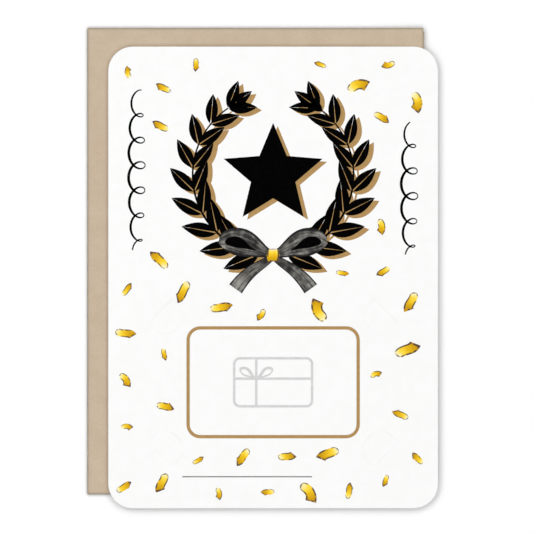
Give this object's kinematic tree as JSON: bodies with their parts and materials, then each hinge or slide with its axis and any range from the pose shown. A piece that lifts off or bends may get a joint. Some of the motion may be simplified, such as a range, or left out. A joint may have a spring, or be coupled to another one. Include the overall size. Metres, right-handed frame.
{
  "type": "gift card holder",
  "caption": "Flat rounded-corner card with lifting corner tabs that hold a gift card, lying on a folded kraft paper envelope with an opening flap.",
  "frame": {"origin": "middle of the whole set's outline, on the surface that it lies on", "axes": "+X right and +Y up as the printed card is read, +Z out of its printed side"},
  "size_m": [0.1352, 0.1852, 0.0018],
  "materials": {
    "white_card": "smooth matt card",
    "kraft_paper": "uncoated kraft",
    "seam_glue": "dried glue",
    "flap_gum": "dried gum"
  },
  "bodies": {
    "envelope": {"envelope_face": "kraft_paper", "top_fold": "kraft_paper", "lower_fold": "kraft_paper", "left_fold": "kraft_paper", "top_side_flap": "kraft_paper", "lower_side_flap": "kraft_paper", "back_panel": "kraft_paper", "top_seam_glue": "seam_glue", "lower_seam_glue": "seam_glue"},
    "flap_spine": {"flap_spine": "kraft_paper"},
    "closure_flap": {"closure_flap": "kraft_paper", "gum_strip": "flap_gum"},
    "holder_card": {"holder_card": "white_card"},
    "tab_upper_left": {"tab_upper_left": "white_card"},
    "tab_upper_right": {"tab_upper_right": "white_card"},
    "tab_lower_left": {"tab_lower_left": "white_card"},
    "tab_lower_right": {"tab_lower_right": "white_card"}
  },
  "joints": [
    {"name": "spine_fold", "type": "hinge", "parent": "envelope", "child": "flap_spine", "pos_m": [0.0623, 0.00258, 0.00124], "axis": [0, -1, 0], "range_deg": [0, 90]},
    {"name": "flap_fold", "type": "hinge", "parent": "flap_spine", "child": "closure_flap", "pos_m": [0.0623, 0.00258, 0.00008], "axis": [0, -1, 0], "range_deg": [0, 90]},
    {"name": "card_lift", "type": "slide", "parent": "envelope", "child": "holder_card", "axis": [0, 0, 1], "range_m": [0, 0.06]},
    {"name": "tab_upper_left_lift", "type": "hinge", "parent": "holder_card", "child": "tab_upper_left", "pos_m": [-0.03918, -0.0166, 0.00157], "axis": [-0.7071, -0.7071, 0], "range_deg": [0, 35], "stiffness_Nm_per_rad": 0.003},
    {"name": "tab_upper_right_lift", "type": "hinge", "parent": "holder_card", "child": "tab_upper_right", "pos_m": [0.04742, -0.0166, 0.00157], "axis": [-0.7071, 0.7071, 0], "range_deg": [0, 35], "stiffness_Nm_per_rad": 0.003},
    {"name": "tab_lower_left_lift", "type": "hinge", "parent": "holder_card", "child": "tab_lower_left", "pos_m": [-0.03918, -0.07158, 0.00157], "axis": [0.7071, -0.7071, 0], "range_deg": [0, 35], "stiffness_Nm_per_rad": 0.003},
    {"name": "tab_lower_right_lift", "type": "hinge", "parent": "holder_card", "child": "tab_lower_right", "pos_m": [0.04742, -0.07158, 0.00157], "axis": [0.7071, 0.7071, 0], "range_deg": [0, 35], "stiffness_Nm_per_rad": 0.003}
  ],
  "couplings": [
    {"joint": "spine_fold", "follows": "flap_fold", "ratio": 1}
  ]
}
